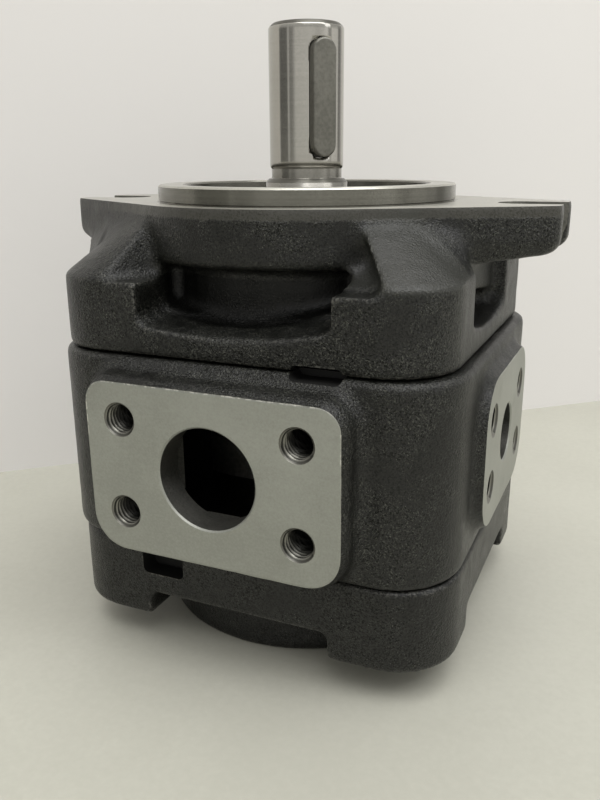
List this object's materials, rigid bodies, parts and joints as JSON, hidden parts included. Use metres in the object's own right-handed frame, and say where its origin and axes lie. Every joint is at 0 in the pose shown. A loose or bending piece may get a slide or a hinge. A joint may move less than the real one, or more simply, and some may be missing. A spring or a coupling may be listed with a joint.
{
  "type": "internal gear pump",
  "caption": "Internal gear hydraulic pump with crescent filler, two-bolt pilot flange, keyed shaft and flanged suction and pressure ports.",
  "frame": {"origin": "shaft axis in the plane of the mounting face, at the foot of the pilot", "axes": "+Z out along the shaft, -Y out of the suction port, +X out of the pressure port"},
  "size_m": [0.174, 0.1421, 0.2016],
  "materials": {
    "cast_iron": "dark painted sand casting with machined faces",
    "ground_steel": "ground",
    "key_steel": "drawn bar",
    "gear_steel": "hardened and ground",
    "filler_bronze": "machined",
    "disc_bronze": "lapped",
    "bush_lining": "lined bearing metal",
    "bearing_steel": "ground",
    "spring_steel": "phosphated spring steel",
    "black_screw_steel": "black oxide",
    "seal_rubber": "moulded rubber"
  },
  "bodies": {
    "housing": {"front_cover": "cast_iron", "pump_body": "cast_iron", "rear_cover": "cast_iron", "segment_carrier": "filler_bronze", "outer_segment": "filler_bronze", "sealing_rollers": "bearing_steel", "segment_spring": "spring_steel", "stop_pin": "bearing_steel", "front_axial_disc": "disc_bronze", "rear_axial_disc": "disc_bronze", "front_disc_seal": "seal_rubber", "rear_disc_seal": "seal_rubber", "front_bearing_bush": "bush_lining", "rear_bearing_bush": "bush_lining", "shaft_seal": "seal_rubber", "seal_spring": "spring_steel", "seal_retaining_ring": "spring_steel", "front_joint_ring": "seal_rubber", "rear_joint_ring": "seal_rubber", "cover_screws": "black_screw_steel", "front_dowel_pins": "bearing_steel", "rear_dowel_pins": "bearing_steel"},
    "drive": {"pinion_shaft": "ground_steel", "shaft_key": "key_steel"},
    "ring": {"ring_gear": "gear_steel"}
  },
  "joints": [
    {"name": "shaft_spin", "type": "hinge", "parent": "housing", "child": "drive", "pos_m": [0, 0, 0], "axis": [0, 0, 1], "continuous": true},
    {"name": "ring_spin", "type": "hinge", "parent": "housing", "child": "ring", "pos_m": [-0.00742, 0.00742, 0], "axis": [0, 0, 1], "continuous": true}
  ],
  "couplings": [
    {"joint": "ring_spin", "follows": "shaft_spin", "ratio": 0.68421}
  ]
}
